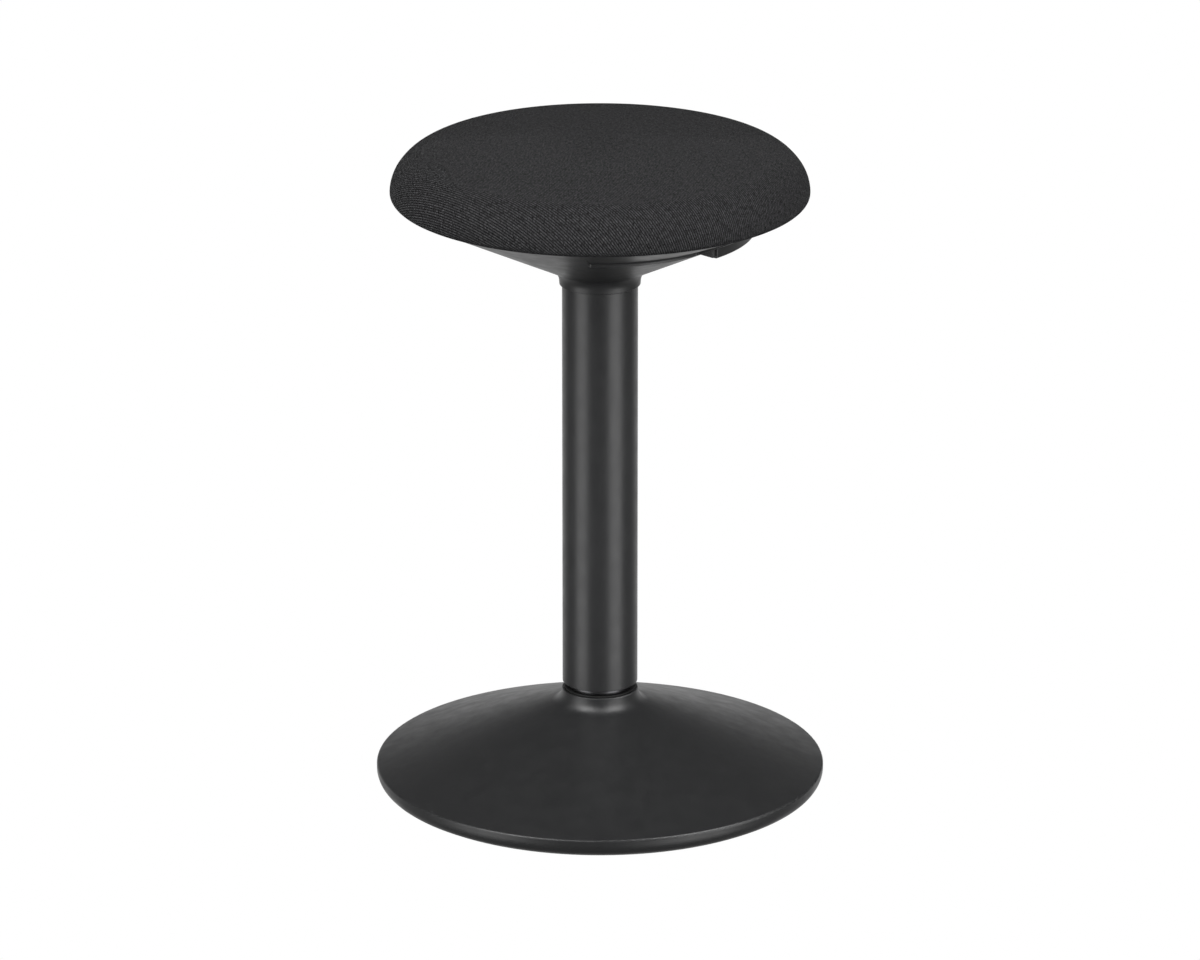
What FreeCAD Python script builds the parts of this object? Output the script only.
"""Height-adjustable wobble stool, in millimetres, +Z up, standing on the floor at z = 0.

The seat is drawn at its lowest setting. The release lever points along +X.
A gas lift stands inside two telescoping tubes: the slim stand tube belongs to the base,
and the wide shroud tube hangs from the seat and slides down over it.
"""
import FreeCAD
import Part
import math
import os

V = FreeCAD.Vector
AXIS = V(0, 0, 1)

# How far webs and bosses grow into the wall that carries them, and how closely edges are matched
ROOT = 0.6
MATCH = 0.001

# Seat cushion
SEAT_R = 165.2
SEAT_WIDEST_Z = 508.7
SHOULDER_R = 31.1
SHOULDER_END = 82.7
HEM_R = 2.4
COVER_T = 1.2
COVER_TUCK_R = 145.0
STAPLES = 20
STAPLE_FIRST = 9.0
STAPLE_RING_R = 150.5
STAPLE_WIRE = 0.8
STAPLE_CROWN = 10.0
STAPLE_LEG = 9.0

# Plywood seat board
BOARD_R = 157.0
BOARD_Z = 507.5
BOARD_T = 12.0
BOARD_EDGE_R = 2.0

# Moulded shell under the seat
CONE_SLOPE = math.radians(25.92)
CONE_START_R = 31.0
CONE_START_Z = 441.6
SHELL_T = 3.0
SHELL_RIM_R = 162.2
SHELL_RIM_Z = 506.2
COLLAR_R = 32.1
COLLAR_TOP_R = 32.2
COLLAR_Z = 432.6
COLLAR_GAP = 0.1
COLLAR_FILLET = 12.0
COLLAR_EDGE_R = 0.5
THICK_START_R = 103.0
THICK_FULL_R = 106.5
THICK_END_R = 152.0
THICK_EXTRA = 3.4
SHELL_RIBS = 8
SHELL_RIB_FIRST = 22.5
SHELL_RIB_T = 2.2
SHELL_RIB_H = 6.0
SHELL_RIB_START_R = 36.0
SHELL_RIB_END_R = 100.0
SHELL_BOSS_R = 5.5
SHELL_SCREW_RING_R = 138.0
SHELL_SCREW_ANGLES = (30.0, 150.0, 210.0, 330.0)
SHELL_SCREW_R = 1.9
SHELL_SCREW_HEAD_R = 4.0
SHELL_SCREW_HEAD_H = 2.6
SHELL_SCREW_WELL_R = 4.6
SHELL_SCREW_WELL_Z = 499.5
SHELL_SCREW_TIP_Z = 516.5

# Finger pockets pressed into the shell on both sides of the lever
POCKET_WALL_R = 108.0
POCKET_END_R = 150.0
POCKET_DEPTH = 2.9
POCKET_NEAR_ANGLE = 45.6
POCKET_FAR_ANGLE = 94.5
POCKET_FILLET = 2.2
POCKET_REACH = 4.0

# Release lever and the opening it works in
PADDLE_R = 122.5
PADDLE_BOTTOM_Z = 478.2
PADDLE_TOP_Z = 490.0
PADDLE_HALF_ANGLE = 42.3
PADDLE_WALL = 2.4
PADDLE_LIP_Z = 481.4
PADDLE_RIBS = (-28.0, -14.0, 14.0, 28.0)
PADDLE_RIB_T = 1.8
PADDLE_RIB_INSET = 1.0
PADDLE_EDGE_R = 0.9
PADDLE_GAP = 0.8
OPENING_HALF_ANGLE = 42.9
CHEEK_OUTER_ANGLE = 44.5
CHEEK_BOTTOM_Z = 479.7
CHEEK_TOP_Z = 491.0
CHEEK_EDGE_R = 0.8
LEVER_BOSS_W = 24.0
LEVER_BOSS_OUTER_X = 120.5
ARM_Z = 490.5
ARM_T = 2.0
ARM_W = 20.0
ARM_TAIL_X = -7.0
ARM_FLANGE_END_X = 101.0
ARM_TIP_X = 118.0
ARM_FLANGE_H = 4.0
EAR_W = 14.0
EAR_R = 5.0
PIVOT_X = 38.0
PIVOT_Z = 484.0
PIVOT_PIN_R = 3.0
PIVOT_HOLE_R = 3.05
PIN_HEAD_R = 4.5
PIN_HEAD_H = 1.8
PIN_RING_R = 5.0
PIN_RING_T = 0.8
PIN_PLAY = 0.2
PIN_TAIL = 3.0
LEVER_SCREW_X = 111.5
LEVER_SCREW_Y = 7.0
LEVER_SCREW_R = 2.0
LEVER_SCREW_HEAD_R = 3.8
LEVER_SCREW_HEAD_H = 2.2
LEVER_SCREW_L = 9.0

# Pressed seat bracket and the hub that grips the gas lift
PAN_FLOOR_Z = 470.0
PAN_T = 3.0
PAN_FLOOR_R = 50.0
PAN_WALL_TOP_R = 66.0
PAN_FLANGE_R = 92.0
PAN_SLOT_W = 25.0
PAN_SLOT_Z = (479.0, 503.0)
BOLT_RING_R = 80.0
BOLTS = 4
BOLT_FIRST = 45.0
BOLT_R = 3.0
BOLT_HOLE_R = 3.2
BOLT_HEAD_AF = 10.0
BOLT_HEAD_H = 4.0
BOLT_TIP_Z = 518.5
TEE_FLANGE_R = 9.0
TEE_FLANGE_T = 1.2
TEE_BARREL_R = 4.05
TEE_BARREL_L = 9.5
TEE_CLEAR = 0.3
HUB_PLUG_R = 28.2
HUB_LIP_R = 30.0
HUB_NECK_R = 20.0
HUB_Z = 440.0
HUB_LIP_T = 3.0
BRACKET_EAR_T = 2.5
BRACKET_EAR_Y = 12.0
BRACKET_EAR_R = 6.5

# Telescoping tubes
SHROUD_R = 30.0
SHROUD_WALL = 1.8
SHROUD_BOTTOM_Z = 99.6
SHROUD_TOP_Z = 452.0
SHROUD_EDGE_R = 0.5
STAND_R = 25.0
STAND_WALL = 2.0
STAND_FLOOR_Z = 27.0
STAND_FLOOR_T = 4.0
STAND_TOP_Z = 420.0
RUNNING_GAP = 0.06
SHROUD_BUSH_Z = 101.2
SHROUD_BUSH_L = 24.0
BUSH_LEAD = 0.8
TUBE_SCREWS = 3
TUBE_SCREW_FIRST = 90.0
TUBE_SCREW_R = 2.0
TUBE_SCREW_Z = 447.5
TUBE_SCREW_L = 7.8

# Gas lift
SEAT_TRAVEL = 200.0
CYLINDER_R = 14.0
CYLINDER_WALL = 1.5
CYLINDER_BOTTOM_Z = 62.3
TAPER_Z = 448.0
TAPER_TOP_R = 13.2
CYLINDER_TOP_Z = 482.0
CYLINDER_CAP_T = 10.0
CYLINDER_CROP = 2.0
GLAND_L = 20.0
GUIDE_BUSH_Z = 330.0
GUIDE_RIM_T = 3.0
ROD_R = 5.0
ROD_END_R = 4.0
ROD_END_GAP = 0.1
ROD_BOTTOM_Z = 21.5
PISTON_SEAT_R = 3.5
PISTON_L = 12.0
PISTON_GAP = 0.1
SEAL_GROOVE_W = 3.0
SEAL_GROOVE_DEPTH = 2.0
PISTON_CLEAR = 1.7
NUT_AF = 10.0
NUT_H = 4.0
ROD_TIP = 1.0
BUTTON_R = 4.0
BUTTON_TRAVEL = 3.0
BUTTON_SPARE = 0.5
BUTTON_TOP_Z = 490.2
BUTTON_DOME = 1.0
BUTTON_BOTTOM_Z = 479.5
RACE_R = 12.0
RACE_T = 1.2
RACE_GAP = 0.3
BALL_R = 1.2
BALL_RING_R = 8.6
BALLS = 8
BALL_GAP = 0.05
LIFT_BUMPER_R = 11.0
LIFT_BUMPER_WAIST = 1.5
LIFT_BUMPER_TOP_Z = 62.0
CLIP_R = 7.0
CLIP_T = 1.2
CLIP_MOUTH_W = 5.0
CLIP_PLAY = 0.1
WASHER_R = 8.0
CLIP_GROOVE_R = 3.2
CLIP_Z = 24.6

# Base
BASE_R = 179.5
BASE_SLOPE = math.radians(19.8)
BASE_T = 3.0
NECK_R = 30.4
NECK_TOP_Z = 93.9
NECK_EDGE_R = 0.7
NECK_BORE_R = 28.9
NECK_MOUTH = 0.2
NECK_SLEEVE_R = 31.4
NECK_SLEEVE_Z = 64.0
FLARE_R = 12.0
RIM_EDGE_R = 2.0
RIM_TURN_Z = 26.8
RIM_TURN_R = 10.4
BASE_LIP_R = 172.1
BASE_RIBS = 8
BASE_RIB_FIRST = 22.5
BASE_RIB_RUN = 14.0
BASE_RIB_T = 2.4
BASE_RIB_Z = 36.0
BASE_BOSS_R = 4.5
COVER_SCREWS = 6
COVER_SCREW_RING_R = 158.0
COVER_SCREW_FIRST = 0.0
COVER_SCREW_R = 1.75
COVER_SCREW_HEAD_R = 3.6
COVER_SCREW_HEAD_H = 2.0
COVER_SCREW_L = 12.0
PLATE_R = 169.5
PLATE_Z = 20.0
PLATE_T = 3.0
PLATE_BORE_R = 26.0
SOCKET_R = 28.4
SOCKET_FLANGE_R = 46.0
SOCKET_FLANGE_T = 6.0
SOCKET_TOP_Z = 70.0
GUSSETS = 4
GUSSET_T = 4.0
GUSSET_TOP_Z = 58.0
GUSSET_NOSE = 2.0
BUMPER_R = 28.7
BUMPER_EDGE_R = 0.8
BUMPER_TOP_Z = 95.5
BALLAST_INNER_R = 70.0
BALLAST_OUTER_R = 140.0
BALLAST_T = 9.0
BALLAST_CHAMFER = 2.0
BALLAST_BOLTS = 4
BALLAST_BOLT_RING_R = 105.0
BALLAST_BOLT_FIRST = 45.0
BALLAST_BOLT_R = 3.0
BALLAST_BOLT_AF = 10.0
BALLAST_BOLT_HEAD_H = 4.0

# Domed rubber sole
SOLE_FLAT_R = 60.0
SOLE_ROCKER_R = 392.0
SOLE_EDGE_R = 170.8
SOLE_T = 4.0
SOLE_RIM_W = 7.0
SOLE_RIBS = 12
SOLE_RIB_T = 3.0
SOLE_RIB_FIRST = 15.0
SOLE_RIB_START_R = 34.0
SOLE_RIB_END_R = 148.0
SOLE_SCREWS = 6
SOLE_SCREW_RING_R = 120.0
SOLE_SCREW_FIRST = 30.0
SOLE_SCREW_R = 2.0
SOLE_SCREW_HEAD_R = 4.0
SOLE_SCREW_HEAD_H = 2.4
SOLE_SCREW_WELL_R = 5.0
SOLE_SCREW_SEAT_Z = 12.5
SOLE_BOSS_R = 8.0


class Outline:
    """A closed half section in the XZ plane, drawn point by point and then turned."""

    def __init__(self, r, z):
        self.start = V(r, 0, z)
        self.here = self.start
        self.edges = []

    def to(self, r, z):
        """A straight stretch to the point (r, z)."""
        end = V(r, 0, z)
        if end.distanceToPoint(self.here) > 1e-6:
            self.edges.append(Part.makeLine(self.here, end))
            self.here = end
        return self

    def arc(self, centre_r, centre_z, end_deg):
        """A round stretch of under half a turn about a centre, to the angle given."""
        radius = math.hypot(self.here.x - centre_r, self.here.z - centre_z)
        first = math.atan2(self.here.z - centre_z, self.here.x - centre_r)
        turn = math.radians(end_deg) - first
        last = first + math.atan2(math.sin(turn), math.cos(turn))
        middle = (first + last) / 2
        mid_point = V(centre_r + radius * math.cos(middle), 0, centre_z + radius * math.sin(middle))
        end = V(centre_r + radius * math.cos(last), 0, centre_z + radius * math.sin(last))
        self.edges.append(Part.Arc(self.here, mid_point, end).toShape())
        self.here = end
        return self

    def turned(self, start_deg=0.0, sweep_deg=360.0):
        """The section turned about the Z axis."""
        self.to(self.start.x, self.start.z)
        face = Part.Face(Part.Wire(self.edges))
        solid = face.revolve(V(0, 0, 0), AXIS, sweep_deg)
        solid.rotate(V(0, 0, 0), AXIS, start_deg)
        return solid


def on_circle(radius, degrees, z=0.0):
    """The point at a radius and an angle about the Z axis."""
    angle = math.radians(degrees)
    return V(radius * math.cos(angle), radius * math.sin(angle), z)


def ring_angles(count, first=0.0):
    """Evenly spaced angles round the stool."""
    return [first + 360.0 * step / count for step in range(count)]


def rod(radius, z_low, z_high, place=V(0, 0, 0)):
    """An upright round bar."""
    return Part.makeCylinder(radius, z_high - z_low, V(place.x, place.y, z_low))


def tube(r_in, r_out, z_low, z_high):
    """An upright ring or tube."""
    return rod(r_out, z_low, z_high).cut(rod(r_in, z_low - 1, z_high + 1))


def hexagon(across_flats, z_low, height, place):
    """An upright hexagonal bar, for bolt heads and nuts."""
    corner_r = across_flats / math.sqrt(3)
    corners = [on_circle(corner_r, angle, z_low) + V(place.x, place.y, 0) for angle in ring_angles(6)]
    wire = Part.makePolygon(corners + corners[:1])
    return Part.Face(wire).extrude(V(0, 0, height))


def upright_web(points, thickness, degrees):
    """A flat web whose outline is given as (r, z) points, standing at an angle about Z."""
    corners = [V(r, -thickness / 2, z) for r, z in points]
    web = Part.Face(Part.makePolygon(corners + corners[:1])).extrude(V(0, thickness, 0))
    web.rotate(V(0, 0, 0), AXIS, degrees)
    return web


def joined(shapes):
    """One clean solid from pieces that grow out of each other."""
    return shapes[0].fuse(shapes[1:]).removeSplitter()


def group(shapes):
    """Separate solids that share a node."""
    return Part.makeCompound(shapes)


def cone_z(r):
    """Height of the outer face of the shell under the seat."""
    return CONE_START_Z + (r - CONE_START_R) * math.tan(CONE_SLOPE)


def base_z(r):
    """Height of the sloping top face of the base."""
    return BASE_CONE_Z - (r - BASE_CONE_R) * math.tan(BASE_SLOPE)


def sole_z(r):
    """Height of the underside of the domed sole."""
    if r <= SOLE_FLAT_R:
        return 0.0
    return SOLE_ROCKER_R - math.sqrt(SOLE_ROCKER_R ** 2 - (r - SOLE_FLAT_R) ** 2)


def cylinder_r(z):
    """Outer radius of the gas cylinder, which tapers where the hub grips it."""
    if z <= TAPER_Z:
        return CYLINDER_R
    share = (z - TAPER_Z) / (CYLINDER_TOP_Z - TAPER_Z)
    return CYLINDER_R + share * (TAPER_TOP_R - CYLINDER_R)


# Where the flare of the base's neck runs into its sloping top
FLARE_Z = NECK_TOP_Z - NECK_EDGE_R
BASE_CONE_R = NECK_R + FLARE_R - FLARE_R * math.sin(BASE_SLOPE)
BASE_CONE_Z = FLARE_Z - FLARE_R * math.cos(BASE_SLOPE)

# Where the rim's turn meets the sole at the same slope
RIM_TURN_END = -90.0 + math.degrees(math.asin((BASE_LIP_R - SOLE_FLAT_R) / SOLE_ROCKER_R))

# Heights that follow from the gas lift
GLAND_TOP_Z = CYLINDER_BOTTOM_Z + GLAND_L
PISTON_Z = GLAND_TOP_Z + SEAT_TRAVEL + PISTON_CLEAR
RACE_LOWER_Z = STAND_FLOOR_Z + STAND_FLOOR_T
BALL_Z = RACE_LOWER_Z + RACE_T + BALL_GAP + BALL_R
RACE_UPPER_Z = BALL_Z + BALL_R
ROD_SHOULDER_Z = RACE_UPPER_Z + RACE_T
BOARD_TOP_Z = BOARD_Z + BOARD_T
PLATE_TOP_Z = PLATE_Z + PLATE_T
SHROUD_BORE_R = SHROUD_R - SHROUD_WALL


def cushion_outline(inset, bottom_z, inner_r):
    """The crowned section of the cushion, drawn in by the inset, from inner_r to the axis."""
    side_r = SEAT_R - inset
    hem_r = HEM_R - inset
    shoulder_centre_r = SEAT_R - SHOULDER_R
    crown_centre_z = SEAT_WIDEST_Z - shoulder_centre_r * math.tan(math.radians(SHOULDER_END))
    outline = Outline(inner_r, bottom_z).to(side_r - hem_r, bottom_z)
    outline.arc(side_r - hem_r, bottom_z + hem_r, 0.0).to(side_r, SEAT_WIDEST_Z)
    outline.arc(shoulder_centre_r, SEAT_WIDEST_Z, SHOULDER_END)
    return outline.arc(0.0, crown_centre_z, 90.0)


def seat_foam():
    """Foam pad with a crown, wrapped round the edge of the board."""
    outline = cushion_outline(COVER_T, BOARD_Z, BOARD_R)
    outline.to(0, BOARD_TOP_Z)
    outline.to(BOARD_R - BOARD_EDGE_R, BOARD_TOP_Z)
    outline.arc(BOARD_R - BOARD_EDGE_R, BOARD_TOP_Z - BOARD_EDGE_R, 0.0)
    foam = outline.turned()
    pocket_r = TEE_FLANGE_R + TEE_CLEAR
    pocket_top = BOARD_TOP_Z + TEE_FLANGE_T + TEE_CLEAR
    pockets = [
        rod(pocket_r, BOARD_TOP_Z - 1, pocket_top, on_circle(BOLT_RING_R, angle))
        for angle in ring_angles(BOLTS, BOLT_FIRST)
    ]
    return foam.cut(pockets)


def seat_cover():
    """Fabric cover over the foam, tucked under the board."""
    outer = cushion_outline(0.0, BOARD_Z - COVER_T, COVER_TUCK_R)
    outer.to(0, BOARD_TOP_Z)
    outer.to(COVER_TUCK_R, BOARD_TOP_Z)
    inner = cushion_outline(COVER_T, BOARD_Z, 0.0)
    return outer.turned().cut(inner.turned())


def seat_board():
    """Plywood disc with holes for the tee nuts and pilot holes for the shell's screws."""
    outline = Outline(0, BOARD_Z).to(BOARD_R, BOARD_Z).to(BOARD_R, BOARD_TOP_Z - BOARD_EDGE_R)
    outline.arc(BOARD_R - BOARD_EDGE_R, BOARD_TOP_Z - BOARD_EDGE_R, 90.0)
    board = outline.to(0, BOARD_TOP_Z).turned()
    nut_holes = [
        rod(TEE_BARREL_R, BOARD_Z - 1, BOARD_TOP_Z + 1, on_circle(BOLT_RING_R, angle))
        for angle in ring_angles(BOLTS, BOLT_FIRST)
    ]
    pilots = [
        rod(SHELL_SCREW_R, BOARD_Z - 1, SHELL_SCREW_TIP_Z, on_circle(SHELL_SCREW_RING_R, angle))
        for angle in SHELL_SCREW_ANGLES
    ]
    return board.cut(nut_holes + pilots)


def cover_staples():
    """Staples that hold the cover's edge to the underside of the board."""
    staples = []
    crown_z = BOARD_Z - COVER_T - STAPLE_WIRE
    for angle in ring_angles(STAPLES, STAPLE_FIRST):
        origin = V(STAPLE_RING_R - STAPLE_WIRE / 2, -STAPLE_CROWN / 2, crown_z)
        crown = Part.makeBox(STAPLE_WIRE, STAPLE_CROWN, STAPLE_WIRE, origin)
        leg = Part.makeBox(STAPLE_WIRE, STAPLE_WIRE, STAPLE_LEG, origin)
        far_leg = leg.translated(V(0, STAPLE_CROWN - STAPLE_WIRE, 0))
        staple = joined([crown, leg, far_leg])
        staple.rotate(V(0, 0, 0), AXIS, angle)
        staples.append(staple)
    return group(staples)


def tee_nuts():
    """Flanged nuts sunk in the top of the board for the bracket's bolts."""
    nuts = []
    for angle in ring_angles(BOLTS, BOLT_FIRST):
        place = on_circle(BOLT_RING_R, angle)
        flange = rod(TEE_FLANGE_R, BOARD_TOP_Z, BOARD_TOP_Z + TEE_FLANGE_T, place)
        barrel = rod(TEE_BARREL_R, BOARD_TOP_Z - TEE_BARREL_L, BOARD_TOP_Z, place)
        bore = rod(BOLT_R, BOARD_Z, BOARD_TOP_Z + 2 * TEE_FLANGE_T, place)
        nuts.append(joined([flange, barrel]).cut(bore))
    return group(nuts)


def bracket_bolts():
    """Hexagon bolts that hold the seat bracket to the board."""
    bolts = []
    head_z = BOARD_Z - PAN_T
    for angle in ring_angles(BOLTS, BOLT_FIRST):
        place = on_circle(BOLT_RING_R, angle)
        head = hexagon(BOLT_HEAD_AF, head_z - BOLT_HEAD_H, BOLT_HEAD_H, place)
        bolts.append(joined([head, rod(BOLT_R, head_z, BOLT_TIP_Z, place)]))
    return group(bolts)


def shell_wall():
    """The turned wall of the shell: collar, cone and the thicker outer band."""
    slope = CONE_SLOPE
    rise = SHELL_T / math.cos(slope)
    bore_r = SHROUD_R + COLLAR_GAP
    half_turn = math.tan((math.pi / 2 - slope) / 2)
    corner_z = cone_z(COLLAR_TOP_R)
    fillet_z = corner_z - COLLAR_FILLET * half_turn
    fillet_centre_r = COLLAR_TOP_R + COLLAR_FILLET
    outline = Outline(bore_r, COLLAR_Z).to(COLLAR_R - COLLAR_EDGE_R, COLLAR_Z)
    outline.arc(COLLAR_R - COLLAR_EDGE_R, COLLAR_Z + COLLAR_EDGE_R, 0.0)
    outline.to(COLLAR_TOP_R, fillet_z)
    outline.arc(fillet_centre_r, fillet_z, 90.0 + math.degrees(slope))
    outline.to(SHELL_RIM_R, cone_z(SHELL_RIM_R)).to(SHELL_RIM_R, SHELL_RIM_Z)
    outline.to(SHELL_RIM_R - SHELL_T / math.sin(slope), SHELL_RIM_Z)
    outline.to(THICK_END_R, cone_z(THICK_END_R) + rise)
    outline.to(THICK_FULL_R, cone_z(THICK_FULL_R) + rise + THICK_EXTRA)
    outline.to(THICK_START_R, cone_z(THICK_START_R) + rise)
    outline.to(bore_r, cone_z(bore_r) + rise)
    return outline.turned()


def shell_ribs():
    """Radial stiffening ribs on the inside of the cone."""
    rise = SHELL_T / math.cos(CONE_SLOPE)
    low = rise - ROOT
    high = rise + SHELL_RIB_H
    points = [
        (SHELL_RIB_START_R, cone_z(SHELL_RIB_START_R) + low),
        (SHELL_RIB_END_R, cone_z(SHELL_RIB_END_R) + low),
        (SHELL_RIB_END_R, cone_z(SHELL_RIB_END_R) + high),
        (SHELL_RIB_START_R, cone_z(SHELL_RIB_START_R) + high),
    ]
    return [upright_web(points, SHELL_RIB_T, angle) for angle in ring_angles(SHELL_RIBS, SHELL_RIB_FIRST)]


def finger_pocket(side):
    """Cutter for the pocket beside the lever: a stepped wall that runs out to the cone."""
    sweep = POCKET_FAR_ANGLE - POCKET_NEAR_ANGLE
    wall_top = cone_z(POCKET_WALL_R) + POCKET_DEPTH
    outline = Outline(POCKET_WALL_R, cone_z(POCKET_WALL_R) - POCKET_REACH)
    outline.to(POCKET_WALL_R, wall_top)
    outline.to(POCKET_END_R, cone_z(POCKET_END_R))
    outline.to(POCKET_END_R, cone_z(POCKET_END_R) - POCKET_REACH)
    start = POCKET_NEAR_ANGLE if side > 0 else -POCKET_FAR_ANGLE
    cutter = outline.turned(start, sweep)
    rounded = [
        edge for edge in cutter.Edges
        if edge.Length > POCKET_FILLET
        and (lies_at(edge, wall_top) or is_upright_at(edge, POCKET_WALL_R))
    ]
    return cutter.makeFillet(POCKET_FILLET, rounded)


def lies_at(edge, z):
    """True where all of an edge's ends are at a height."""
    return all(abs(vertex.Z - z) < MATCH for vertex in edge.Vertexes)


def is_upright_at(edge, radius):
    """True where an edge is vertical and stands at a radius from the Z axis."""
    ends = [vertex.Point for vertex in edge.Vertexes]
    if len(ends) != 2:
        return False
    level = math.hypot(ends[0].x - ends[1].x, ends[0].y - ends[1].y)
    return level < MATCH and abs(math.hypot(ends[0].x, ends[0].y) - radius) < MATCH


def ends_at_radius(edge, radius):
    """True where all of an edge's ends are at a radius from the Z axis."""
    return all(abs(math.hypot(vertex.X, vertex.Y) - radius) < MATCH for vertex in edge.Vertexes)


def lever_cheek(side):
    """Fixed wall beside the lever, flush with its face and ending in a flat foot."""
    inner_r = CONE_START_R + (CHEEK_BOTTOM_Z - CONE_START_Z) / math.tan(CONE_SLOPE)
    outline = Outline(inner_r, CHEEK_BOTTOM_Z).to(PADDLE_R, CHEEK_BOTTOM_Z)
    outline.to(PADDLE_R, CHEEK_TOP_Z).to(inner_r, CHEEK_TOP_Z)
    start = OPENING_HALF_ANGLE if side > 0 else -CHEEK_OUTER_ANGLE
    cheek = outline.turned(start, CHEEK_OUTER_ANGLE - OPENING_HALF_ANGLE)
    corners = [edge for edge in cheek.Edges if is_upright_at(edge, PADDLE_R)]
    return cheek.makeFillet(CHEEK_EDGE_R, corners)


def under_shell():
    """Moulded shell: cone, collar, lever opening with its cheeks, and two finger pockets."""
    rise = SHELL_T / math.cos(CONE_SLOPE)
    bosses = [
        rod(SHELL_BOSS_R, cone_z(SHELL_SCREW_RING_R) + rise, BOARD_Z, on_circle(SHELL_SCREW_RING_R, angle))
        for angle in SHELL_SCREW_ANGLES
    ]
    shell = joined([shell_wall()] + shell_ribs() + bosses)
    opening = Outline(paddle_inner_r() - PADDLE_GAP, COLLAR_Z)
    opening.to(PADDLE_R + PADDLE_GAP, COLLAR_Z).to(PADDLE_R + PADDLE_GAP, BOARD_Z)
    opening.to(paddle_inner_r() - PADDLE_GAP, BOARD_Z)
    shell = shell.cut(opening.turned(-OPENING_HALF_ANGLE, 2 * OPENING_HALF_ANGLE))
    shell = shell.cut([finger_pocket(1), finger_pocket(-1)])
    shell = joined([shell, lever_cheek(1), lever_cheek(-1)])
    wells = []
    for angle in SHELL_SCREW_ANGLES:
        place = on_circle(SHELL_SCREW_RING_R, angle)
        wells.append(rod(SHELL_SCREW_WELL_R, COLLAR_Z, SHELL_SCREW_WELL_Z, place))
        wells.append(rod(SHELL_SCREW_R, COLLAR_Z, BOARD_Z + 1, place))
    return shell.cut(wells)


def shell_screws():
    """Pan-head screws that hold the shell up to the board."""
    screws = []
    for angle in SHELL_SCREW_ANGLES:
        place = on_circle(SHELL_SCREW_RING_R, angle)
        head = rod(SHELL_SCREW_HEAD_R, SHELL_SCREW_WELL_Z - SHELL_SCREW_HEAD_H, SHELL_SCREW_WELL_Z, place)
        shank = rod(SHELL_SCREW_R, SHELL_SCREW_WELL_Z, SHELL_SCREW_TIP_Z, place)
        screws.append(joined([head, shank]))
    return group(screws)


def paddle_inner_r():
    """Radius at which the lever's flat underside runs into the cone."""
    return CONE_START_R + (PADDLE_BOTTOM_Z - CONE_START_Z) / math.tan(CONE_SLOPE)


def lever_paddle():
    """Curved finger tray of the lever, with ribs and a boss for the arm's screws."""
    inner_r = paddle_inner_r()
    floor_z = PADDLE_BOTTOM_Z + PADDLE_WALL
    block = Outline(inner_r, PADDLE_BOTTOM_Z).to(PADDLE_R, PADDLE_BOTTOM_Z)
    block.to(PADDLE_R, PADDLE_TOP_Z).to(PADDLE_R - PADDLE_WALL, PADDLE_TOP_Z)
    block.to(inner_r, PADDLE_LIP_Z)
    tray = block.turned(-PADDLE_HALF_ANGLE, 2 * PADDLE_HALF_ANGLE)
    outer_edges = [
        edge for edge in tray.Edges
        if is_upright_at(edge, PADDLE_R)
        or (lies_at(edge, PADDLE_BOTTOM_Z) and ends_at_radius(edge, PADDLE_R))
    ]
    tray = tray.makeFillet(PADDLE_EDGE_R, outer_edges)
    wall_deg = math.degrees(PADDLE_WALL / PADDLE_R)
    hollow = Outline(inner_r + PADDLE_WALL, floor_z).to(PADDLE_R - PADDLE_WALL, floor_z)
    hollow.to(PADDLE_R - PADDLE_WALL, PADDLE_TOP_Z + 1).to(inner_r + PADDLE_WALL, PADDLE_TOP_Z + 1)
    hollow_angle = PADDLE_HALF_ANGLE - wall_deg
    tray = tray.cut(hollow.turned(-hollow_angle, 2 * hollow_angle))
    root_z = floor_z - ROOT
    rib_start = inner_r + PADDLE_RIB_INSET
    rib_end = PADDLE_R - PADDLE_RIB_INSET
    rib_points = [
        (rib_start, root_z),
        (rib_end, root_z),
        (rib_end, PADDLE_TOP_Z - PADDLE_RIB_INSET),
        (rib_start, PADDLE_LIP_Z),
    ]
    ribs = [upright_web(rib_points, PADDLE_RIB_T, angle) for angle in PADDLE_RIBS]
    boss = Part.makeBox(
        LEVER_BOSS_OUTER_X - rib_start, LEVER_BOSS_W, ARM_Z - root_z,
        V(rib_start, -LEVER_BOSS_W / 2, root_z))
    paddle = joined([tray] + ribs + [boss])
    return paddle.cut([lever_screw_hole(side) for side in (-1, 1)])


def lever_screw_hole(side):
    """Threaded hole for one screw between the arm and the paddle."""
    place = V(LEVER_SCREW_X, side * LEVER_SCREW_Y, 0)
    return rod(LEVER_SCREW_R, ARM_Z + ARM_T - LEVER_SCREW_L, ARM_Z + ARM_T, place)


def lever_arm():
    """Folded steel arm: a web with turned-down flanges and two ears for the pivot pin."""
    half = ARM_W / 2
    web = Part.makeBox(ARM_TIP_X - ARM_TAIL_X, ARM_W, ARM_T, V(ARM_TAIL_X, -half, ARM_Z))
    pieces = [web]
    for side_y in (-half, half - ARM_T):
        flange_origin = V(ARM_TAIL_X, side_y, ARM_Z - ARM_FLANGE_H)
        pieces.append(Part.makeBox(ARM_FLANGE_END_X - ARM_TAIL_X, ARM_T, ARM_FLANGE_H, flange_origin))
        ear_low = V(PIVOT_X - EAR_W / 2, side_y, PIVOT_Z)
        pieces.append(Part.makeBox(EAR_W, ARM_T, ARM_Z - PIVOT_Z, ear_low))
        pieces.append(crossbar(EAR_R, side_y, ARM_T))
    arm = joined(pieces)
    pivot = crossbar(PIVOT_HOLE_R, -ARM_W, 2 * ARM_W)
    holes = [
        rod(LEVER_SCREW_R, ARM_Z - 1, ARM_Z + ARM_T + 1, V(LEVER_SCREW_X, side * LEVER_SCREW_Y, 0))
        for side in (-1, 1)
    ]
    return arm.cut([pivot] + holes)


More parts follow.
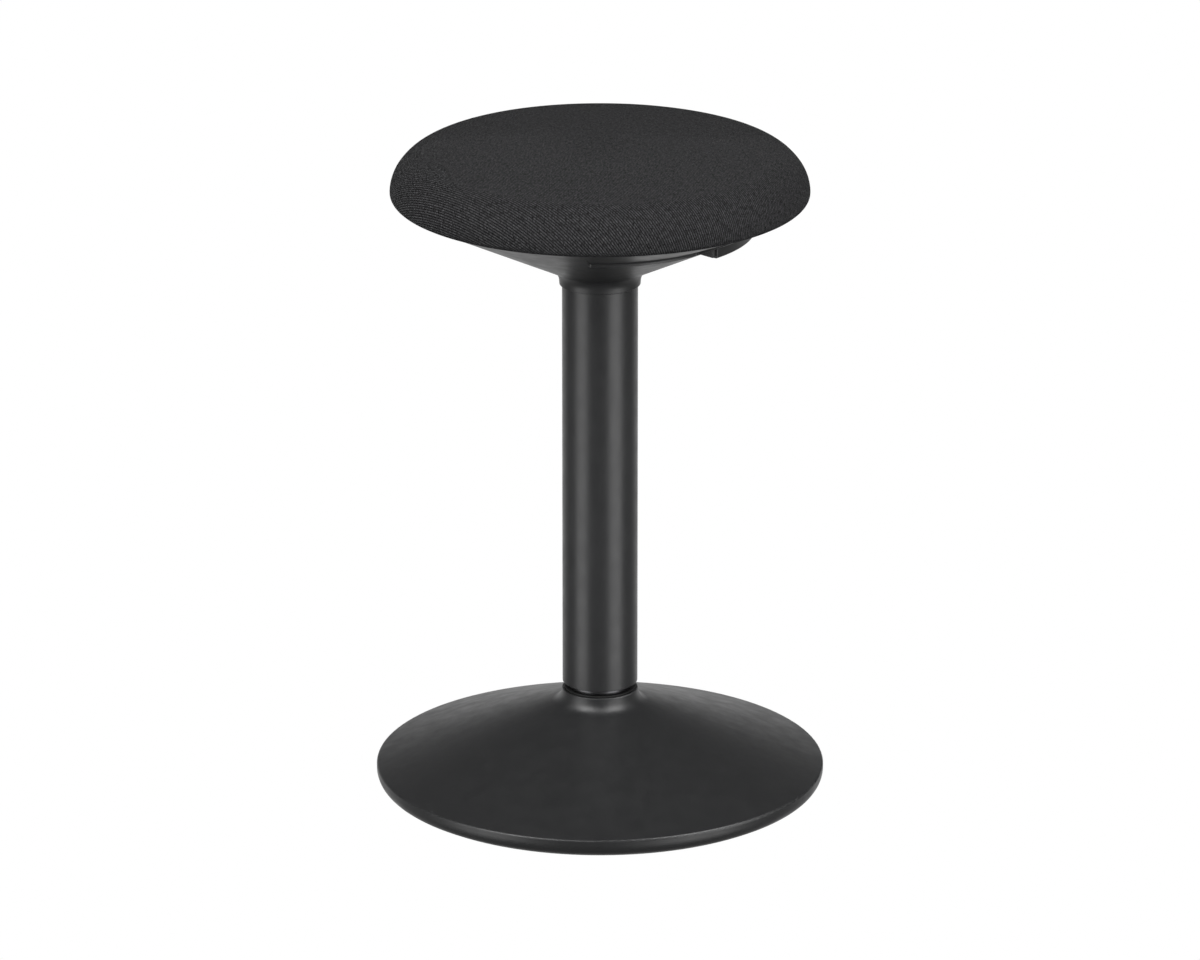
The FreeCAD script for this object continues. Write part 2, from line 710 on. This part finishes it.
def lever_screws():
    """Two screws that clamp the arm on the paddle's boss."""
    screws = []
    for side in (-1, 1):
        place = V(LEVER_SCREW_X, side * LEVER_SCREW_Y, 0)
        top = ARM_Z + ARM_T
        head = rod(LEVER_SCREW_HEAD_R, top, top + LEVER_SCREW_HEAD_H, place)
        screws.append(joined([head, rod(LEVER_SCREW_R, top - LEVER_SCREW_L, top, place)]))
    return group(screws)


def lever_bracket():
    """Two upright ears welded in the pan, which hold the lever's pivot pin."""
    ears = []
    floor_z = PAN_FLOOR_Z + PAN_T
    for side_y in (-BRACKET_EAR_Y - BRACKET_EAR_T, BRACKET_EAR_Y):
        foot = V(PIVOT_X - BRACKET_EAR_R, side_y, floor_z)
        upright = Part.makeBox(2 * BRACKET_EAR_R, BRACKET_EAR_T, PIVOT_Z - floor_z, foot)
        top = crossbar(BRACKET_EAR_R, side_y, BRACKET_EAR_T)
        hole = crossbar(PIVOT_PIN_R, side_y - 1, BRACKET_EAR_T + 2)
        ears.append(joined([upright, top]).cut(hole))
    return group(ears)


def crossbar(radius, start_y, length):
    """A round bar along +Y on the lever's pivot line."""
    return Part.makeCylinder(radius, length, V(PIVOT_X, start_y, PIVOT_Z), V(0, 1, 0))


def lever_pin():
    """Headed pivot pin with a grooved end and its retaining ring."""
    reach = BRACKET_EAR_Y + BRACKET_EAR_T
    shank = crossbar(PIVOT_PIN_R, -reach, 2 * reach + PIN_TAIL)
    head = crossbar(PIN_HEAD_R, -reach - PIN_HEAD_H, PIN_HEAD_H)
    ring = crossbar(PIN_RING_R, reach + PIN_PLAY, PIN_RING_T)
    return joined([shank, head, ring])


def seat_bracket():
    """Pressed steel pan: a dished floor for the hub, a sloping wall and a bolted flange."""
    lean = (PAN_WALL_TOP_R - PAN_FLOOR_R) / (BOARD_Z - PAN_T - PAN_FLOOR_Z)
    inset = PAN_T * math.sqrt(1 + lean ** 2) - lean * PAN_T
    outline = Outline(HUB_NECK_R, PAN_FLOOR_Z).to(PAN_FLOOR_R, PAN_FLOOR_Z)
    outline.to(PAN_WALL_TOP_R, BOARD_Z - PAN_T).to(PAN_FLANGE_R, BOARD_Z - PAN_T)
    outline.to(PAN_FLANGE_R, BOARD_Z).to(PAN_WALL_TOP_R - inset, BOARD_Z)
    outline.to(PAN_FLOOR_R - inset, PAN_FLOOR_Z + PAN_T).to(HUB_NECK_R, PAN_FLOOR_Z + PAN_T)
    pan = outline.turned()
    low, high = PAN_SLOT_Z
    slot = Part.makeBox(PAN_WALL_TOP_R, PAN_SLOT_W, high - low, V(PIVOT_X, -PAN_SLOT_W / 2, low))
    holes = [
        rod(BOLT_HOLE_R, BOARD_Z - 2 * PAN_T, BOARD_Z + 1, on_circle(BOLT_RING_R, angle))
        for angle in ring_angles(BOLTS, BOLT_FIRST)
    ]
    return pan.cut([slot] + holes)


def taper_hub():
    """Turned hub: a tapered bore for the gas lift and a plug that carries the shroud tube."""
    plug_top = SHROUD_TOP_Z
    neck_z = plug_top + HUB_LIP_T
    top_z = PAN_FLOOR_Z + PAN_T
    outline = Outline(CYLINDER_R, HUB_Z).to(HUB_PLUG_R, HUB_Z).to(HUB_PLUG_R, plug_top)
    outline.to(HUB_LIP_R, plug_top).to(HUB_LIP_R, neck_z).to(HUB_NECK_R, neck_z).to(HUB_NECK_R, top_z)
    outline.to(cylinder_r(top_z), top_z).to(CYLINDER_R, TAPER_Z)
    hub = outline.turned()
    return hub.cut([tube_screw_shank(angle) for angle in ring_angles(TUBE_SCREWS, TUBE_SCREW_FIRST)])


def tube_screw_shank(angle):
    """The threaded length of one screw through the shroud tube into the hub."""
    outward = on_circle(1.0, angle)
    start = on_circle(SHROUD_R - TUBE_SCREW_L, angle, TUBE_SCREW_Z)
    return Part.makeCylinder(TUBE_SCREW_R, TUBE_SCREW_L, start, outward)


def tube_screws():
    """Three flush screws that fix the shroud tube to the hub, out of sight in the shell."""
    return group([tube_screw_shank(angle) for angle in ring_angles(TUBE_SCREWS, TUBE_SCREW_FIRST)])


def shroud_tube():
    """Wide outer tube that hangs from the seat's hub."""
    outline = Outline(SHROUD_BORE_R, SHROUD_BOTTOM_Z).to(SHROUD_R - SHROUD_EDGE_R, SHROUD_BOTTOM_Z)
    outline.arc(SHROUD_R - SHROUD_EDGE_R, SHROUD_BOTTOM_Z + SHROUD_EDGE_R, 0.0)
    outline.to(SHROUD_R, SHROUD_TOP_Z).to(SHROUD_BORE_R, SHROUD_TOP_Z)
    holes = [tube_screw_shank(angle) for angle in ring_angles(TUBE_SCREWS, TUBE_SCREW_FIRST)]
    return outline.turned().cut(holes)


def shroud_bush():
    """Plastic sliding bush in the shroud's lower end, running on the stand tube."""
    bore = STAND_R + RUNNING_GAP
    mouth = bore + BUSH_LEAD
    top = SHROUD_BUSH_Z + SHROUD_BUSH_L
    outline = Outline(mouth, SHROUD_BUSH_Z).to(SHROUD_BORE_R, SHROUD_BUSH_Z)
    outline.to(SHROUD_BORE_R, top).to(mouth, top)
    outline.to(bore, top - BUSH_LEAD).to(bore, SHROUD_BUSH_Z + BUSH_LEAD)
    return outline.turned()


def stand_tube():
    """Slim inner tube pressed in the base's socket, with a floor for the thrust bearing."""
    bore = STAND_R - STAND_WALL
    rod_hole = ROD_END_R + ROD_END_GAP
    outline = Outline(rod_hole, STAND_FLOOR_Z).to(STAND_R, STAND_FLOOR_Z).to(STAND_R, STAND_TOP_Z)
    outline.to(bore, STAND_TOP_Z).to(bore, RACE_LOWER_Z).to(rod_hole, RACE_LOWER_Z)
    return outline.turned()


def guide_bush():
    """Long plastic bush in the top of the stand tube that guides the gas cylinder."""
    bore = CYLINDER_R + RUNNING_GAP
    fit_r = STAND_R - STAND_WALL
    rim_top = STAND_TOP_Z + GUIDE_RIM_T
    outline = Outline(bore, GUIDE_BUSH_Z).to(fit_r, GUIDE_BUSH_Z).to(fit_r, STAND_TOP_Z)
    outline.to(STAND_R, STAND_TOP_Z).to(STAND_R, rim_top - BUSH_LEAD)
    outline.to(STAND_R - BUSH_LEAD, rim_top)
    outline.to(bore + BUSH_LEAD, rim_top).to(bore, rim_top - BUSH_LEAD)
    return outline.turned()


def gas_cylinder():
    """Pressure cylinder with a closed, tapered top and a bore for the release button."""
    bore = CYLINDER_R - CYLINDER_WALL
    cap_z = CYLINDER_TOP_Z - CYLINDER_CAP_T
    button_bore = BUTTON_R + RUNNING_GAP
    seat_z = BUTTON_BOTTOM_Z - BUTTON_TRAVEL - BUTTON_SPARE
    neck = bore - CYLINDER_CROP
    outline = Outline(bore, CYLINDER_BOTTOM_Z).to(CYLINDER_R, CYLINDER_BOTTOM_Z)
    outline.to(CYLINDER_R, TAPER_Z).to(TAPER_TOP_R, CYLINDER_TOP_Z).to(button_bore, CYLINDER_TOP_Z).to(button_bore, seat_z)
    outline.to(0, seat_z).to(0, cap_z).to(neck, cap_z).to(neck, TAPER_Z).to(bore, TAPER_Z - CYLINDER_CROP)
    return outline.turned()


def cylinder_gland():
    """Seal and guide for the piston rod in the cylinder's lower end."""
    return tube(ROD_R + RUNNING_GAP, CYLINDER_R - CYLINDER_WALL, CYLINDER_BOTTOM_Z, GLAND_TOP_Z)


def piston_rod():
    """Piston rod, stepped at the thrust bearing and grooved for its clip."""
    top = PISTON_Z + PISTON_L + NUT_H + ROD_TIP
    outline = Outline(0, ROD_BOTTOM_Z).to(ROD_END_R, ROD_BOTTOM_Z).to(ROD_END_R, CLIP_Z)
    outline.to(CLIP_GROOVE_R, CLIP_Z).to(CLIP_GROOVE_R, CLIP_Z + CLIP_T).to(ROD_END_R, CLIP_Z + CLIP_T)
    outline.to(ROD_END_R, ROD_SHOULDER_Z).to(ROD_R, ROD_SHOULDER_Z).to(ROD_R, PISTON_Z)
    outline.to(PISTON_SEAT_R, PISTON_Z).to(PISTON_SEAT_R, top).to(0, top)
    return outline.turned()


def piston():
    """Piston with a groove for its seal."""
    outer = CYLINDER_R - CYLINDER_WALL - PISTON_GAP
    top = PISTON_Z + PISTON_L
    groove_r = outer - SEAL_GROOVE_DEPTH
    groove_low = (PISTON_Z + top - SEAL_GROOVE_W) / 2
    groove_high = groove_low + SEAL_GROOVE_W
    outline = Outline(PISTON_SEAT_R, PISTON_Z).to(outer, PISTON_Z).to(outer, groove_low)
    outline.to(groove_r, groove_low).to(groove_r, groove_high).to(outer, groove_high)
    outline.to(outer, top).to(PISTON_SEAT_R, top)
    return outline.turned()


def piston_nut():
    """Nut that holds the piston on its rod."""
    low = PISTON_Z + PISTON_L
    bore = rod(PISTON_SEAT_R, low - 1, low + NUT_H + 1)
    return hexagon(NUT_AF, low, NUT_H, V(0, 0, 0)).cut(bore)


def thrust_race_lower():
    """Fixed washer of the thrust bearing, on the floor of the stand tube."""
    return tube(ROD_END_R + RACE_GAP, RACE_R, RACE_LOWER_Z, RACE_LOWER_Z + RACE_T)


def thrust_race_upper():
    """Turning washer of the thrust bearing, under the rod's shoulder."""
    return tube(ROD_END_R, RACE_R, RACE_UPPER_Z, ROD_SHOULDER_Z)


def thrust_balls():
    """The thrust bearing's ring of balls."""
    centres = [on_circle(BALL_RING_R, angle, BALL_Z) for angle in ring_angles(BALLS)]
    return group([Part.makeSphere(BALL_R, centre) for centre in centres])


def rod_clip():
    """Retaining clip and washer under the floor of the stand tube."""
    clip = tube(CLIP_GROOVE_R, CLIP_R, CLIP_Z, CLIP_Z + CLIP_T)
    washer = tube(ROD_END_R, WASHER_R, CLIP_Z + CLIP_T, STAND_FLOOR_Z - CLIP_PLAY)
    mouth = Part.makeBox(WASHER_R, CLIP_MOUTH_W, CLIP_T, V(0, -CLIP_MOUTH_W / 2, CLIP_Z))
    return group([clip.cut(mouth), washer])


def lift_bumper():
    """Rubber buffer round the rod, on which the cylinder lands at the lowest setting."""
    waist = LIFT_BUMPER_R - LIFT_BUMPER_WAIST
    middle = (ROD_SHOULDER_Z + LIFT_BUMPER_TOP_Z) / 2
    outline = Outline(ROD_R, ROD_SHOULDER_Z).to(LIFT_BUMPER_R, ROD_SHOULDER_Z)
    outline.to(waist, middle).to(LIFT_BUMPER_R, LIFT_BUMPER_TOP_Z).to(ROD_R, LIFT_BUMPER_TOP_Z)
    return outline.turned()


def release_button():
    """Domed button on top of the gas lift, pressed by the lever's tail."""
    edge_z = BUTTON_TOP_Z - BUTTON_DOME
    dome_r = (BUTTON_R ** 2 + BUTTON_DOME ** 2) / (2 * BUTTON_DOME)
    outline = Outline(0, BUTTON_BOTTOM_Z).to(BUTTON_R, BUTTON_BOTTOM_Z).to(BUTTON_R, edge_z)
    outline.arc(0.0, BUTTON_TOP_Z - dome_r, 90.0)
    return outline.turned()


def base_skin():
    """The turned skin of the base: neck, flare, sloping top, rim and its turned-in edge."""
    slope = BASE_SLOPE
    drop = BASE_T / math.cos(slope)
    corner_z = base_z(BASE_R)
    edge_z = corner_z + RIM_EDGE_R * math.tan(slope) - RIM_EDGE_R / math.cos(slope)
    turn_r = BASE_R - RIM_TURN_R
    slope_deg = math.degrees(slope)
    outline = Outline(NECK_BORE_R, NECK_TOP_Z - NECK_MOUTH).to(NECK_BORE_R + NECK_MOUTH, NECK_TOP_Z)
    outline.to(NECK_R - NECK_EDGE_R, NECK_TOP_Z).arc(NECK_R - NECK_EDGE_R, FLARE_Z, 0.0)
    outline.arc(NECK_R + FLARE_R, FLARE_Z, 270.0 - slope_deg)
    outline.to(BASE_R - RIM_EDGE_R + RIM_EDGE_R * math.sin(slope), edge_z + RIM_EDGE_R * math.cos(slope))
    outline.arc(BASE_R - RIM_EDGE_R, edge_z, 0.0).to(BASE_R, RIM_TURN_Z).arc(turn_r, RIM_TURN_Z, RIM_TURN_END)
    end = math.radians(RIM_TURN_END)
    inner_turn_r = RIM_TURN_R - BASE_T
    outline.to(turn_r + inner_turn_r * math.cos(end), RIM_TURN_Z + inner_turn_r * math.sin(end))
    outline.arc(turn_r, RIM_TURN_Z, 0.0).to(BASE_R - BASE_T, base_z(BASE_R - BASE_T) - drop)
    outline.to(NECK_SLEEVE_R, base_z(NECK_SLEEVE_R) - drop).to(NECK_SLEEVE_R, NECK_SLEEVE_Z)
    outline.to(NECK_BORE_R, NECK_SLEEVE_Z)
    return outline.turned()


def base_shell():
    """Moulded base cover with radial ribs and six screw bosses inside."""
    drop = BASE_T / math.cos(BASE_SLOPE)
    end_r = BASE_CONE_R + (BASE_CONE_Z - drop - BASE_RIB_Z) / math.tan(BASE_SLOPE)
    start_r = NECK_SLEEVE_R - ROOT
    rib_points = [
        (start_r, NECK_SLEEVE_Z),
        (start_r + BASE_RIB_RUN, BASE_RIB_Z),
        (end_r, BASE_RIB_Z),
        (end_r, base_z(end_r) - drop + ROOT),
        (start_r, base_z(start_r) - drop + ROOT),
    ]
    ribs = [upright_web(rib_points, BASE_RIB_T, angle) for angle in ring_angles(BASE_RIBS, BASE_RIB_FIRST)]
    boss_top = base_z(COVER_SCREW_RING_R) - drop + ROOT
    bosses = []
    pilots = []
    for angle in ring_angles(COVER_SCREWS, COVER_SCREW_FIRST):
        place = on_circle(COVER_SCREW_RING_R, angle)
        bosses.append(rod(BASE_BOSS_R, PLATE_TOP_Z, boss_top, place))
        pilots.append(rod(COVER_SCREW_R, PLATE_TOP_Z - 1, PLATE_Z + COVER_SCREW_L, place))
    return joined([base_skin()] + ribs + bosses).cut(pilots)


def base_plate():
    """Steel plate that closes the base and carries the column and the ballast."""
    plate = tube(PLATE_BORE_R, PLATE_R, PLATE_Z, PLATE_TOP_Z)
    holes = []
    for ring_r, count, first, hole_r in (
        (COVER_SCREW_RING_R, COVER_SCREWS, COVER_SCREW_FIRST, COVER_SCREW_R),
        (SOLE_SCREW_RING_R, SOLE_SCREWS, SOLE_SCREW_FIRST, SOLE_SCREW_R),
        (BALLAST_BOLT_RING_R, BALLAST_BOLTS, BALLAST_BOLT_FIRST, BALLAST_BOLT_R),
    ):
        for angle in ring_angles(count, first):
            holes.append(rod(hole_r, PLATE_Z - 1, PLATE_TOP_Z + 1, on_circle(ring_r, angle)))
    return plate.cut(holes)


def cover_screws():
    """Screws up through the plate into the base cover's bosses."""
    screws = []
    for angle in ring_angles(COVER_SCREWS, COVER_SCREW_FIRST):
        place = on_circle(COVER_SCREW_RING_R, angle)
        head = rod(COVER_SCREW_HEAD_R, PLATE_Z - COVER_SCREW_HEAD_H, PLATE_Z, place)
        screws.append(joined([head, rod(COVER_SCREW_R, PLATE_Z, PLATE_Z + COVER_SCREW_L, place)]))
    return group(screws)


def socket_hub():
    """Welded socket that holds the stand tube upright on the plate."""
    flange_top = PLATE_TOP_Z + SOCKET_FLANGE_T
    outline = Outline(STAND_R, PLATE_TOP_Z).to(SOCKET_FLANGE_R, PLATE_TOP_Z).to(SOCKET_FLANGE_R, flange_top)
    outline.to(SOCKET_R, flange_top).to(SOCKET_R, SOCKET_TOP_Z).to(STAND_R, SOCKET_TOP_Z)
    return outline.turned()


def hub_gussets():
    """Four triangular gussets between the socket and its flange."""
    low = PLATE_TOP_Z + SOCKET_FLANGE_T
    foot_r = SOCKET_FLANGE_R - GUSSET_NOSE
    points = [
        (0, low),
        (foot_r, low),
        (foot_r, low + GUSSET_NOSE),
        (SOCKET_R + GUSSET_NOSE, GUSSET_TOP_Z),
        (0, GUSSET_TOP_Z),
    ]
    socket = rod(SOCKET_R, low - 1, GUSSET_TOP_Z + 1)
    return group([upright_web(points, GUSSET_T, angle).cut(socket) for angle in ring_angles(GUSSETS)])


def bumper_ring():
    """Dark rubber ring in the mouth of the neck, under the shroud's lower end."""
    edge_r = BUMPER_R - BUMPER_EDGE_R
    edge_z = BUMPER_TOP_Z - BUMPER_EDGE_R
    outline = Outline(STAND_R, SOCKET_TOP_Z).to(BUMPER_R, SOCKET_TOP_Z).to(BUMPER_R, edge_z)
    outline.arc(edge_r, edge_z, 90.0).to(STAND_R, BUMPER_TOP_Z)
    return outline.turned()


def ballast_ring():
    """Cast ring that keeps the stool upright, bolted on the plate."""
    top = PLATE_TOP_Z + BALLAST_T
    shoulder_z = top - BALLAST_CHAMFER
    outline = Outline(BALLAST_INNER_R, PLATE_TOP_Z).to(BALLAST_OUTER_R, PLATE_TOP_Z)
    outline.to(BALLAST_OUTER_R, shoulder_z).to(BALLAST_OUTER_R - BALLAST_CHAMFER, top)
    outline.to(BALLAST_INNER_R + BALLAST_CHAMFER, top).to(BALLAST_INNER_R, shoulder_z)
    holes = [
        rod(BALLAST_BOLT_R, PLATE_Z, top + 1, on_circle(BALLAST_BOLT_RING_R, angle))
        for angle in ring_angles(BALLAST_BOLTS, BALLAST_BOLT_FIRST)
    ]
    return outline.turned().cut(holes)


def ballast_bolts():
    """Bolts through the cast ring into the plate."""
    bolts = []
    top = PLATE_TOP_Z + BALLAST_T
    for angle in ring_angles(BALLAST_BOLTS, BALLAST_BOLT_FIRST):
        place = on_circle(BALLAST_BOLT_RING_R, angle)
        head = hexagon(BALLAST_BOLT_AF, top, BALLAST_BOLT_HEAD_H, place)
        bolts.append(joined([head, rod(BALLAST_BOLT_R, PLATE_Z, top, place)]))
    return group(bolts)


def rocker_sole():
    """Domed rubber sole on which the stool stands and rocks."""
    rim_r = SOLE_EDGE_R - SOLE_RIM_W
    inner_rocker_r = SOLE_ROCKER_R - SOLE_T
    edge_deg = -90.0 + math.degrees(math.asin((SOLE_EDGE_R - SOLE_FLAT_R) / SOLE_ROCKER_R))
    inner_deg = -90.0 + math.degrees(math.asin((rim_r - SOLE_FLAT_R) / inner_rocker_r))
    skin = Outline(0, 0).to(SOLE_FLAT_R, 0).arc(SOLE_FLAT_R, SOLE_ROCKER_R, edge_deg)
    skin.to(SOLE_EDGE_R, PLATE_Z).to(rim_r, PLATE_Z)
    inner_edge_z = SOLE_ROCKER_R - math.sqrt(inner_rocker_r ** 2 - (rim_r - SOLE_FLAT_R) ** 2)
    skin.to(rim_r, inner_edge_z).arc(SOLE_FLAT_R, SOLE_ROCKER_R, -90.0).to(0, SOLE_T)
    root_z = SOLE_T - ROOT
    rib_start = SOLE_RIB_START_R + ROOT
    rib_points = [
        (rib_start, root_z),
        (SOLE_FLAT_R, root_z),
        (SOLE_RIB_END_R, sole_z(SOLE_RIB_END_R) + root_z),
        (SOLE_RIB_END_R, PLATE_Z),
        (rib_start, PLATE_Z),
    ]
    pieces = [skin.turned(), tube(SOLE_RIB_START_R, SOLE_RIB_START_R + SOLE_RIB_T, root_z, PLATE_Z)]
    pieces += [upright_web(rib_points, SOLE_RIB_T, angle) for angle in ring_angles(SOLE_RIBS, SOLE_RIB_FIRST)]
    boss_z = sole_z(SOLE_SCREW_RING_R) + SOLE_T - 2 * ROOT
    wells = []
    for angle in ring_angles(SOLE_SCREWS, SOLE_SCREW_FIRST):
        place = on_circle(SOLE_SCREW_RING_R, angle)
        pieces.append(rod(SOLE_BOSS_R, boss_z, PLATE_Z, place))
        wells.append(rod(SOLE_SCREW_WELL_R, -1, SOLE_SCREW_SEAT_Z, place))
        wells.append(rod(SOLE_SCREW_R, -1, PLATE_Z + 1, place))
    return joined(pieces).cut(wells)


def sole_screws():
    """Screws in the sole's wells, threaded in the steel plate."""
    screws = []
    for angle in ring_angles(SOLE_SCREWS, SOLE_SCREW_FIRST):
        place = on_circle(SOLE_SCREW_RING_R, angle)
        head = rod(SOLE_SCREW_HEAD_R, SOLE_SCREW_SEAT_Z - SOLE_SCREW_HEAD_H, SOLE_SCREW_SEAT_Z, place)
        screws.append(joined([head, rod(SOLE_SCREW_R, SOLE_SCREW_SEAT_Z, PLATE_TOP_Z, place)]))
    return group(screws)


PARTS = (
    base_shell, base_plate, socket_hub, hub_gussets, ballast_ring, ballast_bolts, rocker_sole,
    sole_screws, cover_screws, stand_tube, guide_bush, bumper_ring, thrust_race_lower,
    piston_rod, piston, piston_nut, thrust_race_upper, thrust_balls, rod_clip, lift_bumper,
    gas_cylinder, cylinder_gland, taper_hub, tube_screws, seat_bracket, lever_bracket, lever_pin,
    bracket_bolts, tee_nuts, seat_board, seat_foam, seat_cover, cover_staples, under_shell,
    shell_screws, shroud_tube, shroud_bush, lever_arm, lever_paddle, lever_screws, release_button,
)


def main():
    """Builds every part, checks that it is a valid solid and writes its STEP file."""
    os.makedirs("parts", exist_ok=True)
    for make in PARTS:
        shape = make()
        name = make.__name__
        if not shape.isValid() or not shape.Solids:
            raise ValueError(name + " is not a valid solid")
        shape.exportStep("parts/" + name + ".step")
        print(name, len(shape.Solids), "solid(s)", round(shape.Volume / 1000.0, 2), "cm3")


main()
